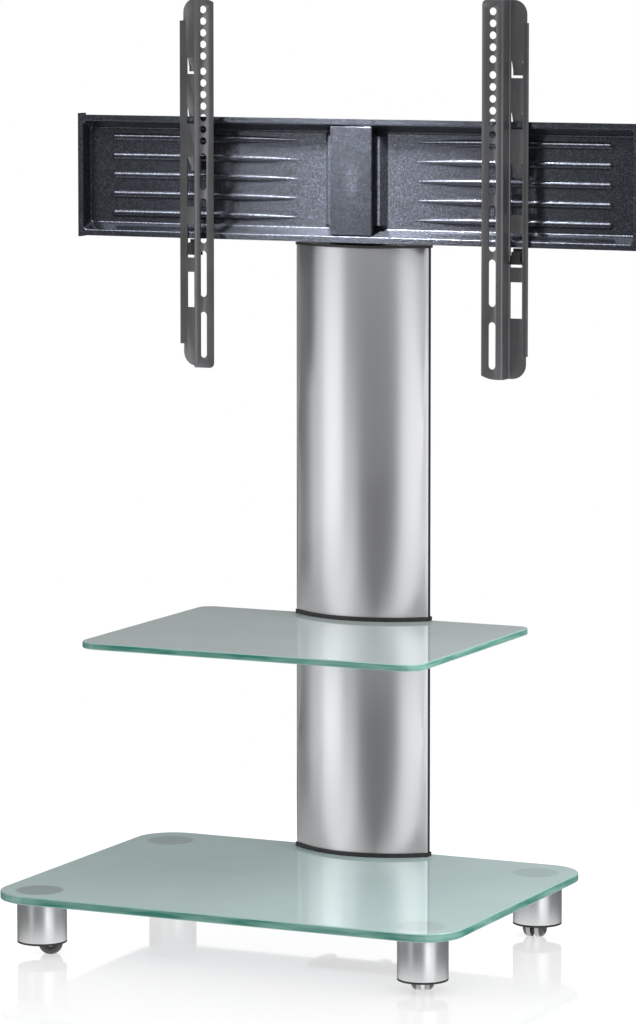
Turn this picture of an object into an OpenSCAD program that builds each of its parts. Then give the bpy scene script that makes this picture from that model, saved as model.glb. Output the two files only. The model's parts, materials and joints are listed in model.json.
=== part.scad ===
// Television stand: glass base on four castor feet, glass shelf, aluminium column,
// ribbed steel mount across the top and two hook-on arms for the screen.
// Millimetres. X runs right, Y to the back, Z up; the origin is on the floor
// under the centre of the base glass.

/* [Base glass] */
// Width of the base glass
base_w = 600; // [560:5:700]
// Depth of the base glass
base_d = 450; // [440:5:520]
// Thickness of the base glass
base_t = 10; // [8:0.5:12]
// Corner radius of the base glass
base_r = 50; // [35:1:60]

/* [Shelf glass] */
// Width of the shelf glass
shelf_w = 450; // [380:5:600]
// Depth of the shelf glass
shelf_d = 350; // [300:5:400]
// Thickness of the shelf glass
shelf_t = 8; // [6:0.5:10]
// Radius of the shelf's front corners
shelf_front_r = 26; // [10:1:40]
// Radius of the shelf's rear corners
shelf_rear_r = 18; // [10:1:40]
// Height of the shelf's top face above the floor
shelf_top = 374; // [300:2:500]

/* [Feet and castors] */
// Distance from each foot's centre to the two edges of the base glass
foot_inset = 50; // [42:1:70]
// Outer diameter of a foot tube
foot_d = 60; // [56:1:64]
// Wall of a foot tube
foot_wall = 1.5; // [1:0.25:2]
// Length of a foot from its black ring to the glass
foot_h = 53.6; // [50:0.2:70]
// Height of the black end ring
ring_h = 2.5; // [2:0.25:4]
// Diameter of a castor wheel
wheel_d = 30; // [28:0.5:32]
// Width of one castor wheel
wheel_w = 11; // [8:0.5:12]
// Distance from the swivel axis to the wheel axle
trail = 10.5; // [8:0.5:11]
// How far the wheels stand out below the feet
foot_gap = 14.4; // [13:0.2:16]
// Diameter of a castor axle
axle_d = 5; // [4:0.5:6]
// Diameter of a castor's swivel stem
stem_d = 10; // [8:0.5:12]

/* [Column] */
// Width of the column
col_w = 180; // [170:2:190]
// Radius of the column's nose
nose_r = 125; // [110:1:140]
// Radius of the column's two flanks
flank_r = 145; // [140:1:160]
// Half angle of the nose arc, in degrees
nose_angle = 20; // [12:1:26]
// Wall of the column shells
col_wall = 2.5; // [2:0.25:3.5]
// Height of the column's top cap above the floor
col_top = 840.5; // [780:2.5:840.5]
// Distance of the column's rear face behind the base centre
col_rear = 215; // [205:1:218]
// Depth of the cable cover
cover_d = 10; // [9:0.5:12]
// Wall of the cable cover
cover_wall = 2.5; // [2:0.25:3]
// Thickness of the rubber gaskets that show
gasket_t = 5; // [3:0.5:6]
// Thickness of the top cap
cap_t = 3; // [2:0.5:4]

/* [Steel post] */
// Width of the post
post_w = 60; // [50:2:64]
// Depth of the post
post_d = 15; // [12:0.5:16]
// Wall of the post
post_wall = 2; // [1.5:0.25:3]

/* [Mount] */
// Width of the mount
mount_w = 758; // [700:2:820]
// Height of the mount
mount_h = 152.5; // [150:0.5:170]
// Distance of the mount's front plane behind the base centre
mount_y = 170; // [168:0.5:171]
// Gap between the column's top and the mount
mount_gap = 3; // [3:0.5:8]
// Sheet of the mount
pan_t = 1.5; // [1.5:0.25:2]
// Depth of the mount's floor behind its front plane
pan_d = 18.6; // [18:0.2:19]
// Width of the flat rim along the mount's top and bottom
rim_h = 7.5; // [7:0.25:9]
// Width of the flat rim at the mount's ends
end_rim = 6; // [4:0.5:8]
// Height over which the long walls slope in to the floor
wall_rise = 8.5; // [7:0.5:10]
// Ribs in each half of the mount
rib_count = 5; // [3:1:5]
// Distance between ribs
rib_pitch = 24; // [22:0.5:25]
// Distance of the ribs' round ends from the mount's middle
rib_end = 340; // [300:5:345]
// Distance of the ribs' points from the mount's middle
rib_point = 82; // [76:2:100]
// Length over which a rib thins to its point
rib_taper = 70; // [50:5:100]
// How far the ribs stand out of the floor
rib_h = 3; // [2:0.25:4]
// Width of the centre channel
channel_w = 56; // [50:1:60]
// Height of the centre channel
channel_h = 134; // [120:1:136]

/* [Arms] */
// Height of an arm
arm_h = 460; // [440:5:500]
// Height of the arms' lower ends above the floor
arm_bottom = 683.5; // [670:0.5:690]
// Distance of the left arm's row of holes from the middle
left_arm_x = 192; // [120:1:300]
// Distance of the right arm's row of holes from the middle
right_arm_x = 198; // [120:1:300]
// Sheet of the arms
arm_t = 2; // [1.5:0.25:2]
// Half the width of the arms' front face
face_half = 14; // [13:0.5:15]
// Depth of the arms' front face in front of their rear flange
arm_d = 19; // [17:0.5:22]
// Distance of the rear flange's fold from the row of holes
fold_x = 33.5; // [32:0.5:36]
// Width of the folded lip
lip_w = 7; // [5:0.5:9]
// Diameter of the holes and width of the slots
hole_d = 9.4; // [8.4:0.2:10]
// Distance between two holes
hole_pitch = 14.4; // [13.5:0.1:14.4]
// Travel of the lock slider up behind the mount's rim
lock_travel = 7; // [6:0.5:7]

/* [Hidden] */
$fn = 64;
feet = ["front_left", "front_right", "rear_left", "rear_right"];
foot_pieces = ["foot_tube", "foot_ring", "foot_disc", "foot_insert", "castor_frame", "axle",
    "wheel_a", "wheel_b"];

// Shared clearances
over = 1;              // cuts run past a face by this much
slip = 0.3;            // gap between pieces that move past each other
seat_gap = 0.05;       // radial gap of a piece that sits in a hole
arc_fn = 240;          // facets of the column's large arcs

// Heights from the floor up
glass_under = foot_gap + foot_h;
glass_top = glass_under + base_t;
shell_bottom = glass_top + gasket_t;
shelf_under = shelf_top - shelf_t;
lower_pad_t = 2;       // pad between the lower shell and the shelf
lower_shell_top = shelf_under - lower_pad_t;
upper_shell_bottom = shelf_top + gasket_t;
shell_top = col_top - cap_t;
mount_bottom = col_top + mount_gap;
mount_top = mount_bottom + mount_h;
mount_mid = mount_bottom + mount_h / 2;

// Column section, measured from the tip of its nose
flank_off = flank_r - nose_r;
flank_x = flank_off * sin(nose_angle);
flank_y = nose_r + flank_off * cos(nose_angle);
tangent_y = nose_r * (1 - cos(nose_angle));
col_depth = flank_y - sqrt(pow(flank_r, 2) - pow(col_w / 2 + flank_x, 2));
chord_y = col_rear - cover_d;
nose_y = chord_y - col_depth;
gasket_proud = 1;      // gaskets and cap stand out this far round the shells
lip_w_shell = 14;      // width of the shells' rear lips
lip_t_shell = 3;       // thickness of the shells' rear lips
boss_angle = 30;       // direction of the screw bosses from the nose centre
screw_boss_d = 10;
cap_screw_d = 4.8;
cap_screw_len = 18;
cap_head_d = 9;
cap_head_h = 2.2;
clip_t = 2;            // legs of the cable covers
clip_barb = 3;         // barbs of the cable covers
cover_r = 4;           // rear corners of the cable covers
cable_notch_w = 44;
cable_notch_h = 24;

// Post and base clamp
post_front = mount_y + pan_d + pan_t;
post_mid_y = post_front + post_d / 2;
clamp_y = post_front + 2;
foot_flange_w = 92;
foot_flange_front = 14;   // how far the foot flange reaches in front of the post's middle
foot_flange_t = 8;
clamp_bolt_x = 38;
clamp_bolt_d = 10;
clamp_bolt_hole = 11;
clamp_head_d = 18.9;      // across the corners
clamp_head_h = 6.4;
clamp_plate_w = 120;
clamp_plate_d = 36;
clamp_plate_t = 5;
clamp_pad_t = 1.5;
collar_t = 2.5;
collar_w = 6;
collar_edge = 4;
slot_w = 104;             // notch for the post and cables in the shelf
slot_d = 32;
slot_r = 8;

// Mount details
channel_t = 2;
boss_d = 10;           // depth of the raised middle behind the front plane
boss_half = 35;
boss_foot_half = 50;
boss_bevel = 10;
rib_r = 5.2;           // radius of the round bar that a rib is pressed over
end_plate_t = 1.5;
end_plate_stand = 1.75;
head_h = 96;
mount_bolt_x = 17;
mount_bolt_z = 36;
mount_bolt_d = 8;
mount_bolt_hole = 8.4;
mount_head_d = 14.4;   // across the corners
mount_head_h = 5.3;
mount_nut_h = 6.5;
wall_slope = atan(wall_rise / pan_d);
wall_v = pan_t / cos(wall_slope);

// Arm details; u runs outward from the row of holes, s runs back from the front face
bend_r = 4;            // outer radius of the folds
lip_angle = 34;
lip_start = 28;        // the lip stops this far from the arm's two ends
flange_end = 36.5;     // edge of the rear flange beyond the lip
flange_corner_r = 18;
face_corner_r = 6;
end_arc_r = 40;
end_arc_u = 5;
first_hole = 14;       // first hole below the arm's top
upper_holes = 5;
lower_holes = 7;
hole_break = 19;       // distance between the two groups of holes
slot_gap = 15.4;       // last hole to the first slot
slots = [[0, 45.5], [55.8, 56.2], [121.4, 57.6], [197.6, 57.6]]; // start and length of each slot
window_in = 16;        // inner edge of the windows
window_out = 31.5;     // outer edge of the windows
hook_side = 1.2;       // gap beside a hook
hook_pitch = 62;
hook_windows = [20, 20, 61.5];   // heights of the three hook windows
hook_top = mount_top + 11 - arm_bottom;   // top of the middle hook window
hook_reach = 6;        // how far a hook drops behind the rim
latch_window = [136, 177.3];     // lower and upper edge above the arm's end
big_window = [73.8, 118];
arm_back = mount_y - slip;       // rear face of the arms' flange
arm_front = arm_back - arm_t - arm_d;

// Lock slider
lock_in = 18;
lock_out = 29.5;
lock_bottom = 139.5;   // above the arm's end
lock_block_h = 15.5;
lock_stem_h = 11;
lock_flange_in = 12;
lock_ear_in = 15.4;
lock_ear_t = 1.2;
lock_ear_h = 3;
lock_flange_out = 32.4;

// Castor details
hood_gap = 1.3;
hood_t = 3;
hood_d = 44;
thrust_d = 18;
thrust_gap = 0.1;
insert_gap = 1.7;      // from the hood to the insert
disc_t = 3;
stud_d = 8;
stud_len = 5;
ring_lip = 1;
ring_lip_h = 4;
web_t = 4;
web_r = 7;
wheel_gap = 0.4;
wheel_dome = 7;        // radius of the wheels' rounded outer edge
axle_head_d = 8;
axle_head_t = 1.2;
stem_len = 22;
castor_angles = [25, 114, 160, -83];   // where each castor's wheels point

function foot_x(i) = (i % 2 == 0 ? -1 : 1) * (base_w / 2 - foot_inset);
function foot_y(i) = (i < 2 ? -1 : 1) * (base_d / 2 - foot_inset);

// Flat plate with its front corners and rear corners rounded separately
module rounded_plate(w, d, t, r_front, r_rear) {
    linear_extrude(t) {
        translate([-w / 2, -d / 2 + r_front]) square([w, d - r_front - r_rear]);
        translate([-w / 2 + r_front, -d / 2]) square([w - 2 * r_front, d / 2]);
        translate([-w / 2 + r_rear, 0]) square([w - 2 * r_rear, d / 2]);
        for (s = [-1, 1]) {
            translate([s * (w / 2 - r_front), -d / 2 + r_front]) circle(r_front);
            translate([s * (w / 2 - r_rear), d / 2 - r_rear]) circle(r_rear);
        }
    }
}

// Column outline, inset all round, with its nose at the origin; its rear edge is at rear
module column_outline(inset, rear) {
    intersection() {
        union() {
            translate([0, nose_r]) circle(nose_r - inset, $fn = arc_fn);
            intersection() {
                translate([-flank_x, flank_y]) circle(flank_r - inset, $fn = arc_fn);
                translate([flank_x, flank_y]) circle(flank_r - inset, $fn = arc_fn);
                translate([-col_w, tangent_y]) square([2 * col_w, col_w]);
            }
        }
        translate([-col_w / 2 + inset, -over]) square([col_w - 2 * inset, rear + over]);
    }
}

// Solid slab with the outline of the whole column, cover included
module column_slab(t) {
    translate([0, nose_y, 0]) linear_extrude(t) {
        column_outline(-gasket_proud, col_depth + gasket_proud);
        translate([-col_w / 2 - gasket_proud, col_depth - over])
            square([col_w + 2 * gasket_proud, cover_d + over]);
    }
}

// The bosses grow out of half the wall's thickness
module screw_boss_places() {
    boss_at = nose_r - col_wall / 2 - screw_boss_d / 2;
    for (s = [-1, 1])
        translate([s * boss_at * sin(boss_angle), nose_r - boss_at * cos(boss_angle)])
            children();
}

// Extruded shell: curved front, two rear lips and two screw bosses
module column_shell(h) {
    translate([0, nose_y, 0]) linear_extrude(h) difference() {
        union() {
            difference() {
                column_outline(0, col_depth);
                column_outline(col_wall, col_depth - lip_t_shell);
                translate([-col_w / 2 + lip_w_shell, col_depth - lip_t_shell - over])
                    square([col_w - 2 * lip_w_shell, lip_t_shell + 2 * over]);
            }
            screw_boss_places() circle(d = screw_boss_d);
        }
        screw_boss_places() circle(d = cap_screw_d + 2 * seat_gap);
    }
}

// Rear cover: a shallow tray whose two clip legs grip behind the shell's lips
module cable_cover(h) {
    leg_x = col_w / 2 - lip_w_shell - clip_barb / 2 - clip_t / 2;
    barb_back = chord_y - lip_t_shell - slip;
    difference() {
        union() {
            linear_extrude(h) difference() {
                translate([-col_w / 2, chord_y]) union() {
                    square([col_w, cover_d - cover_r]);
                    translate([cover_r, 0]) square([col_w - 2 * cover_r, cover_d]);
                    for (x = [cover_r, col_w - cover_r])
                        translate([x, cover_d - cover_r]) circle(cover_r);
                }
                translate([-col_w / 2 + cover_wall, chord_y - over])
                    square([col_w - 2 * cover_wall, cover_d - cover_wall + over]);
            }
            for (s = [-1, 1]) {
                translate([s * leg_x - clip_t / 2, barb_back - clip_barb, 0])
                    cube([clip_t, col_rear - cover_wall - barb_back + clip_barb + over, h]);
                translate([s * (leg_x + clip_barb / 2) - clip_barb / 2,
                    barb_back - clip_barb, 0]) cube([clip_barb, clip_barb, h]);
            }
        }
        translate([0, col_rear - cover_wall - over, 0]) cable_notch();
    }
}

// Round-topped cable opening at the foot of a cover
module cable_notch() {
    translate([-cable_notch_w / 2, 0, -over])
        cube([cable_notch_w, cover_wall + 2 * over, cable_notch_h - cable_notch_w / 2 + over]);
    intersection() {
        translate([0, 0, cable_notch_h - cable_notch_w / 2]) rotate([-90, 0, 0])
            cylinder(d = cable_notch_w, h = cover_wall + 2 * over);
        translate([-cable_notch_w / 2, 0, -over])
            cube([cable_notch_w, cover_wall + 2 * over, cable_notch_h + over]);
    }
}

module base_glass() {
    color("mediumaquamarine") difference() {
        translate([0, 0, glass_under]) rounded_plate(base_w, base_d, base_t, base_r, base_r);
        clamp_bolt_places(glass_under - over) cylinder(d = clamp_bolt_hole, h = base_t + 2 * over);
    }
}

module shelf_glass() {
    color("mediumaquamarine") difference() {
        translate([0, col_rear - shelf_d / 2, shelf_under])
            rounded_plate(shelf_w, shelf_d, shelf_t, shelf_front_r, shelf_rear_r);
        rear_slot(slot_w, shelf_under, shelf_t);
    }
}

// Notch from the rear edge for the post and the cables
module rear_slot(w, z, t) {
    translate([0, 0, z - over]) linear_extrude(t + 2 * over) {
        translate([-w / 2, col_rear - slot_d + slot_r]) square([w, slot_d - slot_r + over]);
        translate([-w / 2 + slot_r, col_rear - slot_d]) square([w - 2 * slot_r, slot_d]);
        for (s = [-1, 1])
            translate([s * (w / 2 - slot_r), col_rear - slot_d + slot_r]) circle(slot_r);
    }
}

module clamp_bolt_places(z) {
    for (s = [-1, 1]) translate([s * clamp_bolt_x, clamp_y, z]) children();
}

module base_gasket() {
    color("dimgray") difference() {
        translate([0, 0, glass_top]) column_slab(gasket_t);
        clamp_bolt_places(glass_top - over)
            cylinder(d = clamp_bolt_hole, h = gasket_t + 2 * over);
    }
}

module shelf_lower_gasket() {
    color("dimgray") difference() {
        translate([0, 0, lower_shell_top]) column_slab(lower_pad_t);
        rear_slot(slot_w, lower_shell_top, lower_pad_t);
    }
}

module shelf_upper_gasket() {
    color("dimgray") difference() {
        translate([0, 0, shelf_top]) column_slab(gasket_t);
        rear_slot(slot_w, shelf_top, gasket_t);
    }
}

module lower_column_shell() {
    color("silver") translate([0, 0, shell_bottom]) column_shell(lower_shell_top - shell_bottom);
}

module upper_column_shell() {
    color("silver") translate([0, 0, upper_shell_bottom])
        column_shell(shell_top - upper_shell_bottom);
}

module lower_cable_cover() {
    color("dimgray") translate([0, 0, shell_bottom]) cable_cover(lower_shell_top - shell_bottom);
}

module upper_cable_cover() {
    color("dimgray") difference() {
        translate([0, 0, upper_shell_bottom]) cable_cover(shell_top - upper_shell_bottom);
        translate([0, col_rear - cover_wall - over, shell_top]) mirror([0, 0, 1]) cable_notch();
    }
}

module column_top_cap() {
    color("black") difference() {
        translate([0, 0, shell_top]) column_slab(cap_t);
        translate([-post_w / 2 - slip, post_front - slip, shell_top - over])
            cube([post_w + 2 * slip, post_d + 2 * slip, cap_t + 2 * over]);
        translate([0, nose_y, shell_top - over]) screw_boss_places()
            cylinder(d = cap_screw_d + 2 * seat_gap, h = cap_t + 2 * over);
        translate([0, nose_y, col_top - cap_head_h]) screw_boss_places()
            cylinder(d = cap_head_d + 2 * seat_gap, h = cap_head_h + over);
    }
}

module cap_screws() {
    color("gray") translate([0, nose_y, 0]) screw_boss_places() {
        translate([0, 0, col_top - cap_head_h]) cylinder(d = cap_head_d, h = cap_head_h);
        translate([0, 0, col_top - cap_screw_len]) cylinder(d = cap_screw_d, h = cap_screw_len);
    }
}

module clamp_block(z, t) {
    difference() {
        translate([-clamp_plate_w / 2, clamp_y - clamp_plate_d / 2, z])
            cube([clamp_plate_w, clamp_plate_d, t]);
        clamp_bolt_places(z - over)
            cylinder(d = clamp_bolt_d + 2 * slip, h = t + 2 * over);
    }
}

module clamp_pad() {
    color("dimgray") clamp_block(glass_under - clamp_pad_t, clamp_pad_t);
}

module clamp_plate() {
    color("gray") clamp_block(glass_under - clamp_pad_t - clamp_plate_t, clamp_plate_t);
}

// Hexagon bolts from below, through the glass into the post's foot flange
module clamp_bolts() {
    head_top = glass_under - clamp_pad_t - clamp_plate_t;
    color("silver") clamp_bolt_places(head_top) {
        translate([0, 0, -clamp_head_h]) cylinder(d = clamp_head_d, h = clamp_head_h, $fn = 6);
        cylinder(d = clamp_bolt_d, h = shell_bottom + foot_flange_t - head_top);
    }
}

// Foot flange that the clamp bolts are screwed into
module post_foot() {
    color("gray") difference() {
        translate([-foot_flange_w / 2, post_mid_y - foot_flange_front, shell_bottom])
            cube([foot_flange_w, chord_y - lip_t_shell - post_mid_y + foot_flange_front,
                foot_flange_t]);
        clamp_bolt_places(shell_bottom - over)
            cylinder(d = clamp_bolt_d + 2 * seat_gap, h = foot_flange_t + 2 * over);
    }
}

// Rectangular steel tube that stands on the foot flange
module upright_post() {
    post_bottom = shell_bottom + foot_flange_t;
    color("gray") difference() {
        translate([-post_w / 2, post_front, post_bottom])
            cube([post_w, post_d, mount_mid + head_h / 2 - post_bottom]);
        translate([-post_w / 2 + post_wall, post_front + post_wall, post_bottom - over])
            cube([post_w - 2 * post_wall, post_d - 2 * post_wall, mount_top]);
        mount_bolt_places(post_front - over)
            cylinder(d = mount_bolt_hole, h = post_wall + 2 * over);
    }
}

// Collar round the post that holds the cap down
module post_collar() {
    color("gray") difference() {
        translate([-post_w / 2 - collar_w, post_front - collar_edge, col_top])
            cube([post_w + 2 * collar_w, post_d + 2 * collar_edge, collar_t]);
        translate([-post_w / 2 - seat_gap, post_front - seat_gap, col_top - over])
            cube([post_w + 2 * seat_gap, post_d + 2 * seat_gap, collar_t + 2 * over]);
    }
}

module mount_bolt_places(y) {
    for (sx = [-1, 1]) for (sz = [-1, 1])
        translate([sx * mount_bolt_x, y, mount_mid + sz * mount_bolt_z]) rotate([-90, 0, 0])
            children();
}

// Steel block in the hollow of the mount's raised middle, between the sheet and the post
module mount_head() {
    head_front = mount_y + boss_d + pan_t;
    color("gray") difference() {
        translate([-post_w / 2, head_front, mount_mid - head_h / 2])
            cube([post_w, post_front - head_front, head_h]);
        mount_bolt_places(head_front - over)
            cylinder(d = mount_bolt_hole, h = post_front - head_front + 2 * over);
    }
}

// Bolt heads lie under the centre channel; the nuts are inside the post
module mount_bolts() {
    color("silver") mount_bolt_places(mount_y + boss_d) {
        translate([0, 0, -mount_head_h]) cylinder(d = mount_head_d, h = mount_head_h, $fn = 6);
        cylinder(d = mount_bolt_d, h = pan_d + pan_t + post_wall + mount_nut_h - boss_d);
    }
}

module mount_nuts() {
    color("silver") mount_bolt_places(post_front + post_wall) difference() {
        cylinder(d = mount_head_d, h = mount_nut_h, $fn = 6);
        translate([0, 0, -over]) cylinder(d = mount_bolt_d + 2 * seat_gap, h = mount_nut_h + 2 * over);
    }
}

// Section of one long side of the mount's sheet: rim, sloping wall; y back, z up
module side_section() {
    polygon([[0, 0], [pan_t, 0], [pan_t, rim_h + pan_t * tan(wall_slope) - wall_v],
        [pan_d + pan_t, rim_h + wall_rise + pan_t * tan(wall_slope) - wall_v],
        [pan_d + pan_t, rim_h + wall_rise], [pan_d, rim_h + wall_rise], [0, rim_h]]);
}

// Section across the mount, filled behind the sheet when solid is true
module mount_section(solid) {
    for (m = [0, 1]) translate([0, m * mount_h]) mirror([0, m]) side_section();
    translate([pan_d, rim_h + wall_rise])
        square([pan_t, mount_h - 2 * rim_h - 2 * wall_rise]);
    if (solid) polygon([[0, rim_h], [pan_d, rim_h + wall_rise],
        [pan_d, mount_h - rim_h - wall_rise], [0, mount_h - rim_h]]);
}

// Extrudes a (y, z) section along X from x0 to x1, standing at the mount's place
module along_x(x0, x1) {
    translate([x0, mount_y, mount_bottom]) rotate([90, 0, 90]) linear_extrude(x1 - x0) children();
}

// Pressed rib over a round bar: r is the bar's radius, less the sheet for the hollow behind
module rib(z, r) {
    bar_y = mount_y + pan_d - rib_h + rib_r;
    sink = rib_r - rib_h;
    translate([0, bar_y, z]) rotate([0, 90, 0]) {
        translate([0, 0, rib_point + rib_taper])
            cylinder(r = r, h = rib_end - rib_r - rib_point - rib_taper);
        translate([0, 0, rib_end - rib_r]) sphere(r);
        translate([0, 0, rib_point]) cylinder(r1 = min(r, sink), r2 = r, h = rib_taper);
    }
}

module ribs(r) {
    for (m = [0, 1]) mirror([m, 0, 0])
        for (k = [0 : rib_count - 1])
            rib(mount_mid + (k - (rib_count - 1) / 2) * rib_pitch, r);
}

// Raised middle of the mount; inset moves every face in by one sheet
module boss(inset) {
    half_h = mount_h / 2 - rim_h - wall_rise - inset / 2;
    intersection() {
        translate([0, mount_y, mount_mid - mount_h / 2]) linear_extrude(mount_h)
            polygon([[-boss_foot_half + inset, pan_d + pan_t + over],
                [-boss_foot_half + inset, pan_d + inset], [-boss_half + inset / 2, boss_d + inset],
                [boss_half - inset / 2, boss_d + inset], [boss_foot_half - inset, pan_d + inset],
                [boss_foot_half - inset, pan_d + pan_t + over]]);
        translate([-mount_w / 2, mount_y, mount_mid]) rotate([90, 0, 90]) linear_extrude(mount_w)
            polygon([[boss_d + inset, -half_h + boss_bevel], [pan_d + inset, -half_h],
                [pan_d + pan_t + over, -half_h], [pan_d + pan_t + over, half_h],
                [pan_d + inset, half_h], [boss_d + inset, half_h - boss_bevel]]);
    }
}

// Pressed steel mount: rims, sloping long walls, floor with ribs and a raised middle
module mount_plate() {
    half = mount_w / 2 - end_plate_t;
    wall_x = half - end_rim;
    back = mount_y + pan_d + pan_t;
    color("darkslategray") difference() {
        union() {
            along_x(-wall_x - pan_t, wall_x + pan_t) mount_section(false);
            for (m = [0, 1]) mirror([m, 0, 0]) {
                along_x(wall_x, wall_x + pan_t) mount_section(true);
                along_x(wall_x, half) square([pan_t, mount_h]);
            }
            ribs(rib_r);
            boss(0);
        }
        ribs(rib_r - pan_t);
        boss(pan_t);
        mount_bolt_places(mount_y) cylinder(d = mount_bolt_hole, h = pan_d);
        translate([-mount_w / 2, back, mount_bottom]) cube([mount_w, rib_r * 2, mount_h]);
    }
}

module end_plate() {
    translate([mount_w / 2 - end_plate_t, mount_y, mount_bottom - end_plate_stand])
        cube([end_plate_t, pan_d + pan_t, mount_h + 2 * end_plate_stand]);
}

module left_end_plate() {
    color("darkslategray") mirror([1, 0, 0]) end_plate();
}

module right_end_plate() {
    color("darkslategray") end_plate();
}

// Channel over the bolt heads: its two sides stand on the raised middle, and its ends
// follow the slope of the long walls
module centre_channel() {
    color("slategray") intersection() {
        difference() {
            translate([-channel_w / 2, mount_y, mount_mid - channel_h / 2])
                cube([channel_w, boss_d, channel_h]);
            translate([-channel_w / 2 + channel_t, mount_y + channel_t,
                mount_mid - channel_h / 2 - over])
                cube([channel_w - 2 * channel_t, boss_d, channel_h + 2 * over]);
        }
        along_x(-channel_w, channel_w) polygon([[0, rim_h + slip],
            [pan_d, rim_h + wall_rise + slip], [pan_d, mount_h - rim_h - wall_rise - slip],
            [0, mount_h - rim_h - slip]]);
    }
}

// A quarter of a fold, from the axis u to the axis s
module fold() {
    intersection() {
        difference() {
            circle(bend_r);
            circle(bend_r - arm_t);
        }
        square(bend_r + over);
    }
}

// Section of an arm without its lip: front face, web and rear flange
module arm_section() {
    translate([-face_half, 0]) square([2 * face_half - bend_r, arm_t]);
    translate([face_half - bend_r, bend_r]) mirror([0, 1]) fold();
    translate([face_half - arm_t, bend_r]) square([arm_t, arm_d + arm_t - 2 * bend_r]);
    translate([face_half - arm_t + bend_r, arm_d + arm_t - bend_r]) mirror([1, 0]) fold();
    translate([face_half - arm_t + bend_r, arm_d])
        square([fold_x - face_half + arm_t - bend_r, arm_t]);
}

module lip_section() {
    translate([fold_x, arm_d]) {
        intersection() {
            circle(arm_t);
            square(arm_t + over);
        }
        rotate(-lip_angle) square([lip_w, arm_t]);
    }
}

// Removes a corner at (u, z) so that an arc of radius r is left; su and sz point outwards
module corner_cut(u, z, r, su, sz) {
    difference() {
        translate([u - (su > 0 ? r : over), -over, z - (sz > 0 ? r : over)])
            cube([r + over, arm_d + arm_t + 2 * over, r + over]);
        translate([u - su * r, -2 * over, z - sz * r]) rotate([-90, 0, 0])
            cylinder(r = r, h = arm_d + arm_t + 4 * over);
    }
}

module face_hole(z) {
    translate([0, -over, z]) rotate([-90, 0, 0]) cylinder(d = hole_d, h = arm_t + 2 * over);
}

module face_slot(z_top, len) {
    face_hole(z_top - hole_d / 2);
    face_hole(z_top - len + hole_d / 2);
    translate([-hole_d / 2, -over, z_top - len + hole_d / 2])
        cube([hole_d, arm_t + 2 * over, len - hole_d]);
}

module flange_window(z0, z1) {
    translate([window_in, arm_d - over, z0])
        cube([window_out - window_in, arm_t + 2 * over, z1 - z0]);
}

// Hook lanced out of the rear flange: slopes back over the rim, then drops behind it
module hook(z_top) {
    rim = mount_top - arm_bottom - hook_top + z_top;   // rim height for this hook
    front = arm_d + arm_t + slip + pan_t + slip + seat_gap;
    translate([window_in + hook_side, 0, 0]) rotate([90, 0, 90])
        linear_extrude(window_out - window_in - 2 * hook_side)
            polygon([[arm_d, z_top + over], [arm_d + arm_t, z_top + over],
                [arm_d + arm_t, z_top], [front + arm_t, rim + slip],
                [front + arm_t, rim - hook_reach], [front, rim - hook_reach],
                [front, rim - slip], [arm_d, z_top]]);
}

// One arm as seen with u to the right: its foot corner and top corner differ left to right
module arm(arc_at_top) {
    holes = [for (k = [0 : upper_holes - 1]) first_hole + k * hole_pitch,
        for (k = [0 : lower_holes - 1])
            first_hole + (upper_holes - 1 + k) * hole_pitch + hole_break];
    slot_top = arm_h - first_hole - (upper_holes + lower_holes - 2) * hole_pitch
        - hole_break - slot_gap;
    end_width = flange_end - fold_x;
    difference() {
        union() {
            linear_extrude(arm_h) arm_section();
            translate([0, 0, lip_start]) linear_extrude(arm_h - 2 * lip_start) lip_section();
            for (z = [0, arm_h - lip_start])
                translate([fold_x - over, arm_d, z]) cube([end_width + over, arm_t, lip_start]);
        }
        corner_cut(flange_end, arm_h, flange_corner_r, 1, 1);
        corner_cut(flange_end, 0, flange_corner_r, 1, -1);
        corner_cut(-face_half, arc_at_top ? 0 : arm_h, face_corner_r, -1, arc_at_top ? -1 : 1);
        translate([0, 0, arc_at_top ? arm_h : 0]) mirror([0, 0, arc_at_top ? 0 : 1]) end_arc();
        for (h = holes) face_hole(arm_h - h);
        for (s = slots) face_slot(slot_top - s[0], s[1]);
        for (k = [0 : len(hook_windows) - 1])
            flange_window(hook_top + (1 - k) * hook_pitch - hook_windows[k],
                hook_top + (1 - k) * hook_pitch);
        flange_window(latch_window[0], latch_window[1]);
        flange_window(big_window[0], big_window[1]);
    }
    for (k = [0 : len(hook_windows) - 1]) hook(hook_top + (1 - k) * hook_pitch);
}

// Long flat arc that ends the front face at one end of an arm
module end_arc() {
    difference() {
        translate([-face_half - over, -over, -end_arc_r / 2])
            cube([face_half + over + end_arc_u, arm_t + 2 * over, end_arc_r]);
        translate([end_arc_u, -2 * over, -end_arc_r]) rotate([-90, 0, 0])
            cylinder(r = end_arc_r, h = arm_t + 4 * over);
    }
}

module right_arm() {
    color("dimgray") translate([right_arm_x, arm_front, arm_bottom]) arm(false);
}

module left_arm() {
    color("dimgray") translate([-left_arm_x, arm_front, arm_bottom]) mirror([1, 0, 0]) arm(true);
}

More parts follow.
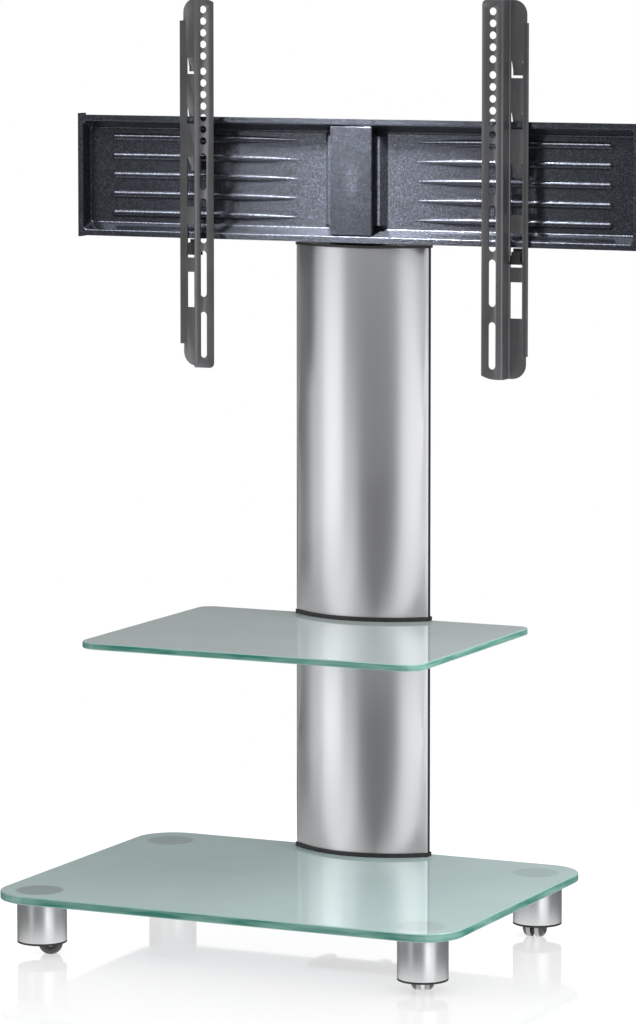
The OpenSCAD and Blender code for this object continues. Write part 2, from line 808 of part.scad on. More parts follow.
// Slider in the latch window: block and ears in front, stem through, flange and tongue behind
module lock_slider() {
    rim_low = mount_bottom - arm_bottom;
    tongue_s = arm_d + arm_t + slip + pan_t + slip + seat_gap;
    flange_s = arm_d + arm_t + slip;
    stem_top = rim_low - lock_travel - slip - seat_gap;
    translate([lock_in, arm_d - arm_t, lock_bottom])
        cube([lock_out - lock_in, arm_t + arm_t, lock_block_h]);
    translate([lock_ear_in, arm_d - slip - lock_ear_t, lock_bottom])
        cube([lock_flange_out - lock_ear_in, lock_ear_t, lock_ear_h]);
    translate([lock_in, arm_d, lock_bottom])
        cube([lock_out - lock_in, tongue_s - arm_d, min(lock_stem_h, stem_top - lock_bottom)]);
    translate([lock_flange_in, flange_s, lock_bottom])
        cube([lock_flange_out - lock_flange_in, tongue_s - flange_s,
            min(lock_stem_h, stem_top - lock_bottom)]);
    translate([lock_in, tongue_s, lock_bottom])
        cube([lock_out - lock_in, arm_t, rim_low - over - lock_bottom]);
}

module right_lock_slider() {
    color("black") translate([right_arm_x, arm_front, arm_bottom]) lock_slider();
}

module left_lock_slider() {
    color("black") translate([-left_arm_x, arm_front, arm_bottom]) mirror([1, 0, 0]) lock_slider();
}

// Foot pieces; i counts the feet
module at_foot(i) {
    translate([foot_x(i), foot_y(i), 0]) children();
}

module foot_tube(i) {
    color("silver") at_foot(i) translate([0, 0, foot_gap + ring_h]) difference() {
        cylinder(d = foot_d, h = foot_h - ring_h);
        translate([0, 0, -over]) cylinder(d = foot_d - 2 * foot_wall, h = foot_h + 2 * over);
    }
}

// Black end ring with a thin lip up inside the tube
module foot_ring(i) {
    inner_d = foot_d - 2 * foot_wall - 2 * seat_gap;
    color("black") at_foot(i) translate([0, 0, foot_gap]) difference() {
        union() {
            cylinder(d = foot_d, h = ring_h);
            cylinder(d = inner_d, h = ring_h + ring_lip_h);
        }
        translate([0, 0, -over])
            cylinder(d = inner_d - 2 * ring_lip, h = ring_h + ring_lip_h + 2 * over);
    }
}

// Steel disc bonded under the glass, with the stud that the foot is screwed on
module foot_disc(i) {
    color("silver") at_foot(i) {
        translate([0, 0, glass_under - disc_t])
            cylinder(d = foot_d - 2 * foot_wall - 2 * seat_gap, h = disc_t);
        translate([0, 0, glass_under - disc_t - stud_len]) cylinder(d = stud_d, h = stud_len);
    }
}

hood_bottom = wheel_d + hood_gap;
hood_top = hood_bottom + hood_t;
insert_bottom = hood_top + insert_gap;
insert_top = glass_under - disc_t;

// Plug that fills the foot's upper part and holds the castor's stem
module foot_insert(i) {
    color("dimgray") at_foot(i) difference() {
        translate([0, 0, insert_bottom])
            cylinder(d = foot_d - 2 * foot_wall - 2 * seat_gap, h = insert_top - insert_bottom);
        translate([0, 0, insert_bottom - over])
            cylinder(d = stem_d + 2 * seat_gap, h = stem_len - hood_t + slip + over);
        translate([0, 0, insert_top - stud_len])
            cylinder(d = stud_d + 2 * seat_gap, h = stud_len + over);
    }
}

module at_castor(i) {
    at_foot(i) rotate([0, 0, castor_angles[i]]) children();
}

// Swivel body: stem, hood disc and the web that carries the axle between the wheels
module castor_frame(i) {
    color("black") at_castor(i) difference() {
        union() {
            translate([0, 0, hood_bottom]) cylinder(d = hood_d, h = hood_t);
            translate([0, 0, hood_bottom])
                cylinder(d = thrust_d, h = insert_bottom - thrust_gap - hood_bottom);
            translate([0, 0, hood_bottom]) cylinder(d = stem_d, h = stem_len);
            rotate([90, 0, 0]) translate([0, 0, -web_t / 2]) linear_extrude(web_t) {
                translate([trail, wheel_d / 2]) circle(web_r);
                polygon([[trail - web_r, wheel_d / 2], [trail + web_r, wheel_d / 2],
                    [trail + web_r, hood_bottom + over], [-web_r, hood_bottom + over]]);
            }
        }
        translate([trail, 0, wheel_d / 2]) rotate([90, 0, 0])
            cylinder(d = axle_d + 2 * seat_gap, h = web_t + 2 * over, center = true);
    }
}

// Axle with a small head at each end
module axle(i) {
    half = web_t / 2 + wheel_gap + wheel_w + wheel_gap;
    color("silver") at_castor(i) translate([trail, 0, wheel_d / 2]) rotate([90, 0, 0]) {
        cylinder(d = axle_d, h = 2 * half, center = true);
        for (s = [-1, 1]) translate([0, 0, s * (half + axle_head_t / 2)])
            cylinder(d = axle_head_d, h = axle_head_t, center = true);
    }
}

// Domed wheel on the side side_sign of the web
module wheel(i, side_sign) {
    color("black") at_castor(i) translate([trail, 0, wheel_d / 2])
        rotate([-90 * side_sign, 0, 0]) translate([0, 0, web_t / 2 + wheel_gap])
            rotate_extrude() difference() {
                union() {
                    square([wheel_d / 2, wheel_w - wheel_dome]);
                    intersection() {
                        translate([wheel_d / 2 - wheel_dome, wheel_w - wheel_dome])
                            circle(wheel_dome);
                        square([wheel_d / 2, wheel_w]);
                    }
                    square([wheel_d / 2 - wheel_dome, wheel_w]);
                }
                translate([0, -over]) square([axle_d / 2 + seat_gap, wheel_w + 2 * over]);
            }
}

base_glass();
shelf_glass();
base_gasket();
shelf_lower_gasket();
shelf_upper_gasket();
lower_column_shell();
upper_column_shell();
lower_cable_cover();
upper_cable_cover();
column_top_cap();
cap_screws();
clamp_pad();
clamp_plate();
clamp_bolts();
post_foot();
upright_post();
post_collar();
mount_head();
mount_plate();
left_end_plate();
right_end_plate();
centre_channel();
mount_bolts();
mount_nuts();
left_arm();
right_arm();
left_lock_slider();
right_lock_slider();
for (i = [0 : len(feet) - 1]) {
    foot_tube(i);
    foot_ring(i);
    foot_disc(i);
    foot_insert(i);
    castor_frame(i);
    axle(i);
    wheel(i, 1);
    wheel(i, -1);
}
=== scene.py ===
import json
import math

import bmesh
import bpy
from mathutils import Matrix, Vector

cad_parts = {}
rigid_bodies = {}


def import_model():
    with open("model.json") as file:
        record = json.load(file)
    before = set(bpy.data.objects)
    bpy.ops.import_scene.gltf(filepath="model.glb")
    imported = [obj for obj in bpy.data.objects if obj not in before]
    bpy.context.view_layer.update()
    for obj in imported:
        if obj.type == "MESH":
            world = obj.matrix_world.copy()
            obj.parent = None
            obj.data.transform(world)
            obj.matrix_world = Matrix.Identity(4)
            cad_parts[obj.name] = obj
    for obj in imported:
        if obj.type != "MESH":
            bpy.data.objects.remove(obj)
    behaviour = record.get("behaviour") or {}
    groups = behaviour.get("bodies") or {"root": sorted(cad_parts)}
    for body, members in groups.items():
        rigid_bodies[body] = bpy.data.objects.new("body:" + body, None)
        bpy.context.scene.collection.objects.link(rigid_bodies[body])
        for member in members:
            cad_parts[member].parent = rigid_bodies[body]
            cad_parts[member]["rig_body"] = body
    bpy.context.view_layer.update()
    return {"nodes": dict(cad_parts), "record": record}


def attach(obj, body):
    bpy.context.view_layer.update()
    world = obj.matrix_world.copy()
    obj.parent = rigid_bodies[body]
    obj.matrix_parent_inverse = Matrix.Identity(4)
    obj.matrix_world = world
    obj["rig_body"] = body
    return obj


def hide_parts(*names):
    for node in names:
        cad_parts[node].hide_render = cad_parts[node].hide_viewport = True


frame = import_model()
nodes = frame["nodes"]
slotOf = {part["node"]: part["material_slot"] for part in frame["record"]["subparts"]}
spinAxis = {joint["child"]: joint["axis"] for joint in frame["record"]["behaviour"]["joints"]}
print("loaded", len(nodes), "nodes")


# a wire is one socket, and an expression on wires adds its Math nodes
class Wire:
    def __init__(self, finish, socket):
        self.finish = finish
        self.socket = socket

    def maths(self, operation, first, second):
        return self.finish.node("ShaderNodeMath", {"operation": operation}, {0: first, 1: second})

    def __add__(self, other):
        return self.maths("ADD", self, other)

    def __radd__(self, other):
        return self.maths("ADD", other, self)

    def __sub__(self, other):
        return self.maths("SUBTRACT", self, other)

    def __rsub__(self, other):
        return self.maths("SUBTRACT", other, self)

    def __mul__(self, other):
        return self.maths("MULTIPLY", self, other)

    def __rmul__(self, other):
        return self.maths("MULTIPLY", other, self)

    def __pow__(self, other):
        return self.maths("POWER", self, other)

    def __rpow__(self, other):
        return self.maths("POWER", other, self)


# the node tree of one material, or of the world
class Finish:
    def __init__(self, owner):
        owner.use_nodes = True
        self.owner = owner
        self.tree = owner.node_tree
        self.tree.nodes.clear()

    def node(self, kind, settings=None, inputs=None, output=0):
        made = self.tree.nodes.new(kind)
        for name, value in (settings or {}).items():
            setattr(made, name, value)
        for name, value in (inputs or {}).items():
            if isinstance(value, Wire):
                self.tree.links.new(value.socket, made.inputs[name])
            else:
                made.inputs[name].default_value = value
        return Wire(self, made.outputs[output]) if len(made.outputs) else None

    def axis(self, letter):                 # one of the object's own coordinates
        spot = self.node("ShaderNodeTexCoord", output="Object")
        return self.node("ShaderNodeSeparateXYZ", {}, {"Vector": spot}, letter)

    def place(self, stretch=(1, 1, 1)):     # the object's own coordinates, stretched
        spot = self.node("ShaderNodeTexCoord", output="Object")
        return self.node("ShaderNodeMapping", {}, {"Vector": spot, "Scale": stretch})

    def noise(self, scale, detail, stretch=(1, 1, 1)):
        return self.node("ShaderNodeTexNoise", {},
                         {"Vector": self.place(stretch), "Scale": scale, "Detail": detail})

    def cells(self, scale, output):
        return self.node("ShaderNodeTexVoronoi", {}, {"Vector": self.place(), "Scale": scale}, output)

    def part(self, colour, letter):         # one channel of a colour
        return self.node("ShaderNodeSeparateColor", {}, {"Color": colour}, letter)

    def spread(self, wire, low, high, toLow=0.0, toHigh=1.0):       # remaps a range, with clamped ends
        return self.node("ShaderNodeMapRange", {}, {"Value": wire, "From Min": low, "From Max": high,
                                                    "To Min": toLow, "To Max": toHigh})

    def vary(self, noise, toLow=0.0, toHigh=1.0):       # a noise is mostly between 0.3 and 0.7
        return self.spread(noise, 0.3, 0.7, toLow, toHigh)

    def blend(self, mask, first, second):   # a colour between two colours
        return self.node("ShaderNodeMix", {"data_type": "RGBA"}, {0: mask, 6: first, 7: second}, 2)

    def bump(self, height, distance, strength):
        return self.node("ShaderNodeBump", {},
                         {"Height": height, "Distance": distance, "Strength": strength})

    def out(self, shader):
        self.node("ShaderNodeOutputMaterial", {}, {"Surface": shader})
        return self.owner

    def surface(self, inputs):
        return self.out(self.node("ShaderNodeBsdfPrincipled", {}, inputs))


def newFinish(name):
    return Finish(bpy.data.materials.new(name))


def grey(level, tint=(1.0, 1.0, 1.0)):
    return tuple(level * channel for channel in tint) + (1.0,)


# aluminium with fine lines drawn along its height
columnLook = {"colour": (0.785, 0.795, 0.815), "streaks": 0.012, "roughness": 0.36, "anisotropy": 0.75}
footLook = {"colour": (0.78, 0.79, 0.80), "streaks": 0.02, "roughness": 0.38, "anisotropy": 0.3}
drawnLines = {"scale": 900.0, "squeeze": 0.012, "share": 0.6, "cloudScale": 9.0, "cloudSqueeze": 0.3,
              "roughnessRange": 0.015, "depth": 0.00001, "strength": 0.15, "turn": 0.25}


def drawnAluminium(name, values):
    look = newFinish(name)
    lines = look.noise(drawnLines["scale"], 3.0, (1, 1, drawnLines["squeeze"]))
    cloud = look.noise(drawnLines["cloudScale"], 2.0, (1, 1, drawnLines["cloudSqueeze"]))
    uneven = lines * drawnLines["share"] + cloud * (1 - drawnLines["share"])
    return look.surface({
        "Base Color": look.blend(look.vary(lines), grey(1 - values["streaks"], values["colour"]),
                                 grey(1 + values["streaks"], values["colour"])),
        "Metallic": 1.0,
        "Roughness": look.vary(uneven, values["roughness"] - drawnLines["roughnessRange"],
                               values["roughness"] + drawnLines["roughnessRange"]),
        "Anisotropic": values["anisotropy"],
        "Anisotropic Rotation": drawnLines["turn"],
        "Normal": look.bump(lines, drawnLines["depth"], drawnLines["strength"]),
    })


glassLook = {"face": (0.485, 0.622, 0.608), "shelfFace": (0.55, 0.634, 0.629), "milk": (0.45, 0.465, 0.485),
             "edge": (0.145, 0.285, 0.245), "edgeDark": (0.03, 0.15, 0.118), "arris": (0.235, 0.375, 0.34),
             "gloss": 0.03, "coat": 0.5, "edgeGloss": 0.12, "edgeCoat": 0.3, "frost": 0.55, "ground": 0.22,
             "refraction": 1.52, "faceRefraction": 1.55, "frostRefraction": 1.5, "cloudScale": 7.0,
             "cloudRange": 0.03, "bandScale": 16.0, "bandStretch": 8.0, "bandFrom": 0.35, "bandTo": 0.65,
             "frostScale": 1800.0, "frostRange": 0.04, "frostDepth": 0.00005, "frostStrength": 0.5,
             "groundScale": 600.0, "groundDark": 0.86, "groundLight": 1.1}
# the foot discs under the base glass, painted into its top face as darker rounds (painted shade of the discs
# seen through the glass): x, y and how strongly, each a little to the front
footDiscPaintedShades = [(-0.250, -0.175, 0.72), (0.250, -0.175, 0.22), (-0.250, 0.175, 0.5), (0.250, 0.175, 0.3)]
paintedDiscLook = {"colour": (0.24, 0.29, 0.285), "inner": 0.0265, "outer": 0.0305, "shift": 0.006}


# gloss over the milky underside, with the foot discs beneath painted on as darker rounds: painted shade of
# the discs seen through the glass
def glassFace(name, colour, spots):
    look = newFinish(name)
    cloud = look.vary(look.noise(glassLook["cloudScale"], 2.0))
    tone = look.blend(cloud, grey(1 - glassLook["cloudRange"], colour),
                      grey(1 + glassLook["cloudRange"], colour))
    x, y = look.axis("X"), look.axis("Y")
    # painted shade: each foot disc darkens the top face's colour where it lies beneath the glass
    for spotX, spotY, strength in spots:
        far = ((x - spotX) ** 2.0 + (y - (spotY - paintedDiscLook["shift"])) ** 2.0) ** 0.5
        mask = look.spread(far, paintedDiscLook["inner"], paintedDiscLook["outer"], strength, 0.0)
        tone = look.blend(mask, tone, grey(1.0, paintedDiscLook["colour"]))
    return look.surface({"Base Color": tone, "Roughness": glassLook["gloss"],
                         "IOR": glassLook["faceRefraction"], "Coat Weight": glassLook["coat"]})


def glassEdge():
    look = newFinish("greenGlassEdge")
    bands = look.noise(glassLook["bandScale"], 3.0, (1, 1, glassLook["bandStretch"]))
    mask = look.spread(bands, glassLook["bandFrom"], glassLook["bandTo"])
    return look.surface({
        "Base Color": look.blend(mask, grey(1.0, glassLook["edgeDark"]), grey(1.0, glassLook["edge"])),
        "Roughness": glassLook["edgeGloss"], "IOR": glassLook["refraction"],
        "Coat Weight": glassLook["edgeCoat"],
    })


def glassUnderside():
    look = newFinish("frostedGlassUnderside")
    grain = look.noise(glassLook["frostScale"], 2.0)
    return look.surface({
        "Base Color": look.blend(look.vary(grain), grey(1 - glassLook["frostRange"], glassLook["milk"]),
                                 grey(1 + glassLook["frostRange"], glassLook["milk"])),
        "Roughness": glassLook["frost"], "IOR": glassLook["frostRefraction"],
        "Normal": look.bump(grain, glassLook["frostDepth"], glassLook["frostStrength"]),
    })


def glassArris():
    look = newFinish("groundGlassArris")
    grain = look.noise(glassLook["groundScale"], 2.0)
    return look.surface({
        "Base Color": look.blend(grain, grey(glassLook["groundDark"], glassLook["arris"]),
                                 grey(glassLook["groundLight"], glassLook["arris"])),
        "Roughness": glassLook["ground"], "IOR": glassLook["refraction"],
    })


rubberLook = {"dark": 0.0176, "light": 0.0275, "tint": (1.0, 0.98, 0.95), "grain": 1400.0,
              "smooth": 0.42, "rough": 0.6, "depth": 0.00006, "strength": 0.5}


def rubber(name):
    look = newFinish(name)
    grain = look.noise(rubberLook["grain"], 3.0)
    return look.surface({
        "Base Color": look.blend(grain, grey(rubberLook["dark"]),
                                 grey(rubberLook["light"], rubberLook["tint"])),
        "Roughness": look.vary(grain, rubberLook["smooth"], rubberLook["rough"]),
        "Normal": look.bump(grain, rubberLook["depth"], rubberLook["strength"]),
    })


plasticLooks = {"blackPlastic": {"level": 0.022, "roughness": 0.45, "grain": 1100.0},
                "wheelNylon": {"level": 0.06, "roughness": 0.20, "grain": 700.0},
                "greyWheelTread": {"level": 0.42, "roughness": 0.22, "grain": 700.0}}
plasticWear = {"scale": 40.0, "from": 0.35, "to": 0.7, "dark": 0.85, "light": 1.2, "tint": (0.98, 1.0, 1.03),
               "smoother": 0.05, "rougher": 0.07, "depth": 0.00005, "strength": 0.35}


# spark-eroded grain, with slightly lighter and rougher worn places
def mouldedPlastic(name):
    values = plasticLooks[name]
    look = newFinish(name)
    worn = look.noise(plasticWear["scale"], 4.0)
    return look.surface({
        "Base Color": look.blend(look.spread(worn, plasticWear["from"], plasticWear["to"]),
                                 grey(values["level"] * plasticWear["dark"]),
                                 grey(values["level"] * plasticWear["light"], plasticWear["tint"])),
        "Roughness": look.vary(worn, values["roughness"] - plasticWear["smoother"],
                               values["roughness"] + plasticWear["rougher"]),
        "Normal": look.bump(look.cells(values["grain"], "Distance"), plasticWear["depth"],
                            plasticWear["strength"]),
    })


coatLook = {"base": 0.050, "baseTint": (0.92, 0.975, 1.11), "fleck": 0.140, "fleckTint": (0.82, 0.94, 1.26),
            "fleckScale": 900.0, "fleckFrom": 0.5, "roughness": 0.20, "roughnessRange": 0.03,
            "metallic": 0.80, "peelScale": 420.0, "peelDepth": 0.00004, "peelStrength": 0.12}


# black powder coat with metallic flecks, each a cell of its own brightness
def powderCoat():
    look = newFinish("blackPowderCoat")
    chance = look.part(look.cells(coatLook["fleckScale"], "Color"), "Red")
    peel = look.noise(coatLook["peelScale"], 3.0)
    return look.surface({
        "Base Color": look.blend(look.spread(chance, coatLook["fleckFrom"], 1.0),
                                 grey(coatLook["base"], coatLook["baseTint"]),
                                 grey(coatLook["fleck"], coatLook["fleckTint"])),
        "Metallic": coatLook["metallic"],
        "Roughness": look.vary(peel, coatLook["roughness"] - coatLook["roughnessRange"],
                               coatLook["roughness"] + coatLook["roughnessRange"]),
        "Normal": look.bump(peel, coatLook["peelDepth"], coatLook["peelStrength"]),
    })


steelLooks = {
    "greyCoatedSteel": {"level": 0.188, "tint": (0.98, 0.99, 1.02), "roughness": 0.33, "metallic": 0.72},
    "darkSteel": {"level": 0.035, "tint": (1.0, 1.0, 1.02), "roughness": 0.42, "metallic": 0.3},
}
steelSkin = {"peelScale": 700.0, "cloudScale": 22.0, "range": 0.08, "smoother": 0.05, "rougher": 0.06,
             "depth": 0.00005, "strength": 0.35}


def coatedSteel(name):
    values = steelLooks[name]
    look = newFinish(name)
    peel = look.noise(steelSkin["peelScale"], 2.0)
    cloud = look.noise(steelSkin["cloudScale"], 3.0)
    return look.surface({
        "Base Color": look.blend(look.vary(cloud),
                                 grey(values["level"] * (1 - steelSkin["range"]), values["tint"]),
                                 grey(values["level"] * (1 + steelSkin["range"]), values["tint"])),
        "Metallic": values["metallic"],
        "Roughness": look.vary(peel * 0.5 + cloud * 0.5, values["roughness"] - steelSkin["smoother"],
                               values["roughness"] + steelSkin["rougher"]),
        "Normal": look.bump(peel, steelSkin["depth"], steelSkin["strength"]),
    })


zincLook = {"dark": 0.58, "darkTint": (1.0, 0.99, 0.96), "light": 0.74, "lightTint": (0.98, 1.0, 1.0),
            "spangle": 260.0, "smooth": 0.26, "rough": 0.38}


def zincPlate():
    look = newFinish("zincPlate")
    spangle = look.part(look.cells(zincLook["spangle"], "Color"), "Green")
    return look.surface({
        "Base Color": look.blend(spangle, grey(zincLook["dark"], zincLook["darkTint"]),
                                 grey(zincLook["light"], zincLook["lightTint"])),
        "Metallic": 1.0,
        "Roughness": look.spread(spangle, 0.0, 1.0, zincLook["smooth"], zincLook["rough"]),
    })


finishes = {
    "float_glass": glassFace("glassFace", glassLook["face"], []),
    "anodised_aluminium": drawnAluminium("drawnAluminium", columnLook),
    "black_rubber": rubber("blackRubber"),
    "black_plastic": mouldedPlastic("blackPlastic"),
    "black_powder_coat": powderCoat(),
    "grey_coated_steel": coatedSteel("greyCoatedSteel"),
    "dark_steel": coatedSteel("darkSteel"),
    "zinc_plated_steel": zincPlate(),
    "wheel_nylon": mouldedPlastic("wheelNylon"),
}
glassFinishes = {"under": glassUnderside(), "edge": glassEdge(), "arris": glassArris()}
footAluminium = drawnAluminium("turnedFootAluminium", footLook)
wheelTread = mouldedPlastic("greyWheelTread")
for name, piece in nodes.items():
    piece.data.materials.clear()
    piece.data.materials.append(finishes[slotOf[name]])
print("finishes made")


def clearPick():        # leaves edit mode and deselects everything
    if bpy.context.object and bpy.context.object.mode != "OBJECT":
        bpy.ops.object.mode_set(mode="OBJECT")
    bpy.ops.object.select_all(action="DESELECT")


def pickPiece(piece):
    clearPick()
    piece.select_set(True)
    bpy.context.view_layer.objects.active = piece


def startOn(piece):
    pickPiece(piece)
    bpy.ops.object.mode_set(mode="EDIT")


# selects the corners, edges or faces of the piece in edit mode that pass a test
def pick(piece, kind, test):
    bpy.ops.mesh.select_mode(type=kind)
    bpy.ops.mesh.select_all(action="DESELECT")
    mesh = bmesh.from_edit_mesh(piece.data)
    items = {"VERT": mesh.verts, "EDGE": mesh.edges, "FACE": mesh.faces}[kind]
    for item in items:
        if test(item):
            item.select_set(True)
    bmesh.update_edit_mesh(piece.data)


def bevelPicked(width, segments):
    bpy.ops.mesh.bevel(offset=width, offset_type="OFFSET", segments=segments, affect="EDGES")


def edgeMiddle(edge):
    return (edge.verts[0].co + edge.verts[1].co) / 2


def edgeAlong(edge):
    return (edge.verts[1].co - edge.verts[0].co).normalized()


alongAxis, acrossAxis = 0.95, 0.1       # the share of a direction that lies along an axis, or across it


def isUpright(edge):
    return abs(edgeAlong(edge).z) > alongAxis


def isLevel(edge):
    return abs(edgeAlong(edge).z) < acrossAxis


def isBend(edge, degrees):
    return len(edge.link_faces) == 2 and edge.calc_face_angle(0.0) > math.radians(degrees)


def applyPlace():
    bpy.ops.object.transform_apply(location=True, rotation=True, scale=True)


def applyModifiers(piece):
    pickPiece(piece)
    for modifier in list(piece.modifiers):
        bpy.ops.object.modifier_apply(modifier=modifier.name)


# names the piece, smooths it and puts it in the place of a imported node
def finishPiece(piece, name, node, smooth, material=None):
    pickPiece(piece)
    piece.name = piece.data.name = name
    applyPlace()
    bpy.ops.object.shade_smooth_by_angle(angle=math.radians(smooth))
    if material:
        piece.data.materials.clear()
        piece.data.materials.append(material)
    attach(piece, nodes[node]["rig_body"])
    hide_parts(node)


def cutAway(piece, cutter):
    clearPick()
    modifier = piece.modifiers.new("cut", "BOOLEAN")
    modifier.operation = "DIFFERENCE"
    modifier.solver = "EXACT"
    modifier.object = cutter
    applyModifiers(piece)
    bpy.data.objects.remove(cutter)


def addBlock(size, middle):
    clearPick()
    bpy.ops.mesh.primitive_cube_add(size=1.0, location=middle)
    block = bpy.context.object
    block.scale = size
    applyPlace()
    return block


def roundCutter(radius, depth, middle):
    clearPick()
    bpy.ops.mesh.primitive_cylinder_add(vertices=32, radius=radius, depth=depth, location=middle)
    return bpy.context.object


# a block with its front upright edges rounded, to cut a notch from the rear
def notchCutter(size, middle, radius):
    block = addBlock(size, middle)
    startOn(block)
    pick(block, "EDGE", lambda e: isUpright(e) and edgeMiddle(e).y < middle[1])
    bevelPicked(radius, segments=8)
    clearPick()
    return block


baseGlass = {"size": (0.600, 0.450, 0.010), "middle": (0, 0, 0.073), "rearCorner": 0.050,
             "frontCorner": 0.050, "arris": 0.0011, "boltX": 0.038, "boltY": 0.1921, "boltHole": 0.0055,
             "cutDepth": 0.03}
shelfGlass = {"size": (0.450, 0.350, 0.008), "middle": (0, 0.040, 0.370), "rearCorner": 0.018,
              "frontCorner": 0.026, "arris": 0.0010, "slot": (0.104, 0.040, 0.020), "slotY": 0.203,
              "slotCorner": 0.008}


# a plate with rounded corners, a ground arris, a green edge and a frosted underside
def glassPlate(node, name, values, faceFinish, cutters):
    middleY = values["middle"][1]
    plate = addBlock(values["size"], values["middle"])
    startOn(plate)
    for radius, side in ((values["rearCorner"], 1), (values["frontCorner"], -1)):
        pick(plate, "EDGE", lambda e: isUpright(e) and (edgeMiddle(e).y - middleY) * side > 0)
        bevelPicked(radius, segments=20)
    clearPick()
    for cutter in cutters:
        cutAway(plate, cutter)
    startOn(plate)
    pick(plate, "EDGE", lambda e: isBend(e, degrees=60) and isLevel(e))
    bevelPicked(values["arris"], segments=1)
    clearPick()
    plate.data.materials.clear()
    for finish in (faceFinish, glassFinishes["under"], glassFinishes["edge"], glassFinishes["arris"]):
        plate.data.materials.append(finish)
    for face in plate.data.polygons:
        if face.normal.z > alongAxis:
            face.material_index = 0
        elif face.normal.z < -alongAxis:
            face.material_index = 1
        elif abs(face.normal.z) < acrossAxis:
            face.material_index = 2
        else:
            face.material_index = 3
    finishPiece(plate, name, node, smooth=32.0)


glassPlate("base_glass", "baseGlassPlate", baseGlass,
           glassFace("baseGlassFace", glassLook["face"], footDiscPaintedShades),
           [roundCutter(baseGlass["boltHole"], baseGlass["cutDepth"],
                        (side * baseGlass["boltX"], baseGlass["boltY"], baseGlass["middle"][2]))
            for side in (-1, 1)])
glassPlate("shelf_glass", "shelfGlassPlate", shelfGlass,
           glassFace("shelfGlassFace", glassLook["shelfFace"], []),
           [notchCutter(shelfGlass["slot"], (0, shelfGlass["slotY"], shelfGlass["middle"][2]),
                        shelfGlass["slotCorner"])])
print("glass plates made")


# one pressed sheet with a pan, tapered ribs on its floor and a raised middle;
# rise is how far the long walls slope in, and ribBar the radius of a rib's round top
mountSheet = {"halfWidth": 0.3775, "bottom": 0.8435, "height": 0.1525, "front": 0.170, "depth": 0.0186,
              "endRim": 0.006, "rim": 0.0075, "rise": 0.0085, "sheet": 0.0015, "corner": 0.005,
              "bend": 0.0016, "floorShare": 0.9992, "ribPitch": 0.024, "ribs": 5, "ribPoint": 0.082,
              "ribTaper": 0.070, "ribEnd": 0.340, "ribHeight": 0.003, "ribBar": 0.0052,
              "pointMargin": 0.0006, "endMargin": 0.0003, "middleHalf": 0.035, "middleFoot": 0.042,
              "middleFront": 0.0086, "middleBevel": 0.004, "margin": 0.0012}
# along a rib's taper: how far along, how wide and how high
ribTaperShares = ((0.0, 0.16, 0.06), (0.05, 0.25, 0.16), (0.13, 0.37, 0.30), (0.26, 0.51, 0.47),
                  (0.46, 0.69, 0.68), (0.71, 0.87, 0.87), (1.0, 1.0, 1.0))
ribEndSteps = (0.0, 0.0019, 0.0033, 0.0042, 0.0046)       # where the round end of a rib is cut
ribWidthShares = (1.0, 0.90, 0.70, 0.36, 0.0)             # the lines beside a rib's middle
near = 0.00001                          # points this close together count as one
rearwards, facing = 0.6, 0.999          # the share of an edge that runs to the rear, of a normal to the front

middleZ = mountSheet["bottom"] + mountSheet["height"] / 2
floorY = mountSheet["front"] + mountSheet["depth"]
wallX = mountSheet["halfWidth"] - mountSheet["endRim"]
panHeight = mountSheet["height"] - 2 * mountSheet["rim"]
floorHalf = panHeight / 2 - mountSheet["rise"] - mountSheet["bend"]
ribZ = [middleZ + (rib - (mountSheet["ribs"] - 1) / 2) * mountSheet["ribPitch"]
        for rib in range(mountSheet["ribs"])]


# along one rib: distance from the stand's middle, half width, height
def ribSections():
    m = mountSheet
    sink = m["ribBar"] - m["ribHeight"]
    full = math.sqrt(m["ribBar"] ** 2 - sink ** 2)
    rows = [(m["ribPoint"] + m["ribTaper"] * far, full * wide, m["ribHeight"] * high)
            for far, wide, high in ribTaperShares]
    for step in ribEndSteps:
        bar = math.sqrt(m["ribBar"] ** 2 - step ** 2)
        rows.append((m["ribEnd"] - m["ribBar"] + step, math.sqrt(bar * bar - sink * sink), bar - sink))
    return rows, full


def cutUpright(x):      # cuts the picked faces along an upright line
    bpy.ops.mesh.bisect(plane_co=(x, 0, 0), plane_no=(1, 0, 0), threshold=near)


def cutLevel(z):
    bpy.ops.mesh.bisect(plane_co=(0, 0, z), plane_no=(0, 0, 1), threshold=near)


def onFloor(point):
    return point.y > floorY - near


def isFloor(face):
    return face.normal.y < -facing and onFloor(face.calc_center_median())


def atX(vert, x):       # on the pan's floor, on either side of the middle
    return abs(abs(vert.co.x) - x) < 2 * near and onFloor(vert.co)


def pressPan():
    m = mountSheet
    clearPick()
    bpy.ops.mesh.primitive_plane_add(size=1.0, location=(0, m["front"], middleZ),
                                     rotation=(math.pi / 2, 0, 0))
    sheet = bpy.context.object
    sheet.scale = (2 * m["halfWidth"], m["height"], 1.0)
    applyPlace()
    startOn(sheet)
    for x in (-wallX, wallX):
        bpy.ops.mesh.select_all(action="SELECT")
        cutUpright(x)
    for z in (m["bottom"] + m["rim"], m["bottom"] + m["height"] - m["rim"]):
        bpy.ops.mesh.select_all(action="SELECT")
        cutLevel(z)
    centre = Vector((0, m["front"], middleZ))
    pick(sheet, "FACE", lambda f: (f.calc_center_median() - centre).length < near)
    bpy.ops.mesh.extrude_region_move(TRANSFORM_OT_translate={"value": (0, m["depth"], 0)})
    bpy.ops.transform.resize(value=(m["floorShare"], 1, (panHeight - 2 * m["rise"]) / panHeight),
                             center_override=(0, floorY, middleZ))
    # round the pan's four corners, whose edges run to the rear, then the bends round its rims and floor
    pick(sheet, "EDGE", lambda e: abs(edgeAlong(e).y) > rearwards and m["front"] < edgeMiddle(e).y < floorY)
    bevelPicked(m["corner"], segments=5)
    pick(sheet, "EDGE", lambda e: isBend(e, degrees=25))
    bevelPicked(m["bend"], segments=3)
    return sheet


